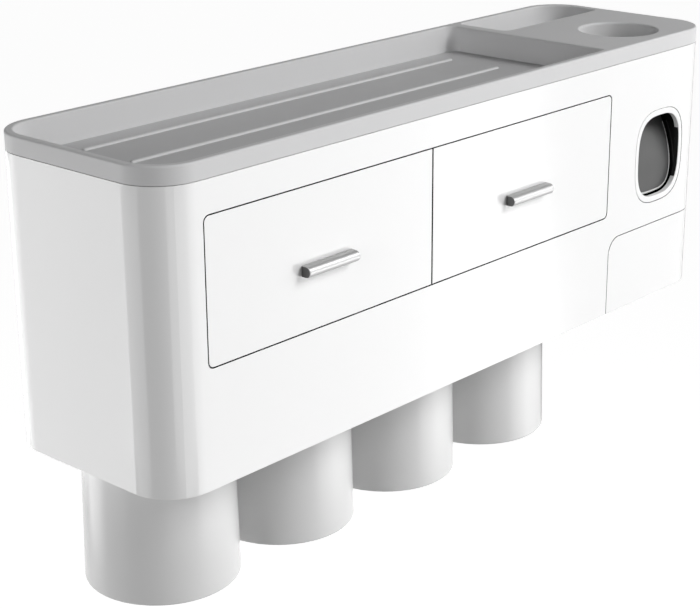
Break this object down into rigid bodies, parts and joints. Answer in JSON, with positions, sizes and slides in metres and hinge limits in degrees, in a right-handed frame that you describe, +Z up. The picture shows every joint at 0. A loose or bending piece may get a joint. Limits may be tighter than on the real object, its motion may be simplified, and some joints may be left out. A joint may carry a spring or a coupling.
{
  "type": "toothbrush holder",
  "caption": "Wall-hung toothbrush holder with a top tray, drawers, magnetic hanging cups, a brush rack and a lever toothpaste squeezer.",
  "frame": {"origin": "centre of the middle adhesive pad's face that meets the wall", "axes": "+X to the right of someone facing the holder, +Y into the wall, +Z up"},
  "size_m": [0.4, 0.1135, 0.2048],
  "materials": {
    "gloss_white": "high gloss moulded plastic",
    "moulded_white": "plain moulded plastic",
    "matte_grey": "fine matt texture",
    "satin_cup": "satin moulded plastic",
    "satin_silver": "satin anodised",
    "plated_steel": "nickel plated",
    "gloss_black": "high gloss",
    "dark_grey": "satin",
    "silicone": "soft silicone",
    "natural_plastic": "natural, uncoloured",
    "foam_tape": "double sided foam tape"
  },
  "bodies": {
    "wall_mount": {"wall_bracket": "moulded_white", "adhesive_pad_1": "foam_tape", "adhesive_pad_2": "foam_tape", "adhesive_pad_3": "foam_tape"},
    "holder": {"housing": "gloss_white", "back_panel": "moulded_white", "top_tray": "matte_grey", "brush_rack": "moulded_white", "panel_screw_1": "plated_steel", "panel_screw_2": "plated_steel", "panel_screw_3": "plated_steel", "panel_screw_4": "plated_steel", "panel_screw_5": "plated_steel", "panel_screw_6": "plated_steel", "ceiling_magnet_1": "plated_steel", "ceiling_magnet_2": "plated_steel", "ceiling_magnet_3": "plated_steel", "ceiling_magnet_4": "plated_steel", "dispenser_chamber": "gloss_black", "window_bezel": "gloss_white", "lever_pin": "plated_steel", "tube_seat": "silicone", "paste_nozzle": "natural_plastic", "pump_bellows": "silicone", "chamber_screw_1": "plated_steel", "chamber_screw_2": "plated_steel", "chamber_screw_3": "plated_steel", "chamber_screw_4": "plated_steel"},
    "drawer_left": {"drawer_front_left": "gloss_white", "drawer_box_left": "moulded_white", "handle_left": "satin_silver", "handle_screw_left_1": "plated_steel", "handle_screw_left_2": "plated_steel"},
    "drawer_right": {"drawer_front_right": "gloss_white", "drawer_box_right": "moulded_white", "handle_right": "satin_silver", "handle_screw_right_1": "plated_steel", "handle_screw_right_2": "plated_steel"},
    "cup_body_1": {"cup_1": "satin_cup", "cup_magnet_1": "plated_steel"},
    "cup_body_2": {"cup_2": "satin_cup", "cup_magnet_2": "plated_steel"},
    "cup_body_3": {"cup_3": "satin_cup", "cup_magnet_3": "plated_steel"},
    "cup_body_4": {"cup_4": "satin_cup", "cup_magnet_4": "plated_steel"},
    "lever": {"push_lever": "dark_grey"},
    "cover": {"dispenser_cover": "gloss_white"}
  },
  "joints": [
    {"name": "holder_lift", "type": "slide", "parent": "wall_mount", "child": "holder", "axis": [0, 0, 1], "range_m": [0, 0.01]},
    {"name": "drawer_left_slide", "type": "slide", "parent": "holder", "child": "drawer_left", "axis": [0, -1, 0], "range_m": [0, 0.07]},
    {"name": "drawer_right_slide", "type": "slide", "parent": "holder", "child": "drawer_right", "axis": [0, -1, 0], "range_m": [0, 0.07]},
    {"name": "cup_1_pull", "type": "slide", "parent": "holder", "child": "cup_body_1", "axis": [0, 0, -1], "range_m": [0, 0.045]},
    {"name": "cup_2_pull", "type": "slide", "parent": "holder", "child": "cup_body_2", "axis": [0, 0, -1], "range_m": [0, 0.045]},
    {"name": "cup_3_pull", "type": "slide", "parent": "holder", "child": "cup_body_3", "axis": [0, 0, -1], "range_m": [0, 0.045]},
    {"name": "cup_4_pull", "type": "slide", "parent": "holder", "child": "cup_body_4", "axis": [0, 0, -1], "range_m": [0, 0.045]},
    {"name": "lever_push", "type": "hinge", "parent": "holder", "child": "lever", "pos_m": [0.1542, -0.0916, 0.0098], "axis": [1, 0, 0], "range_deg": [0, 18], "stiffness_Nm_per_rad": 0.05, "springref_deg": -8.59, "deforming": ["pump_bellows"]},
    {"name": "cover_pull", "type": "slide", "parent": "holder", "child": "cover", "axis": [0, 0, -1], "range_m": [0, 0.055]}
  ]
}
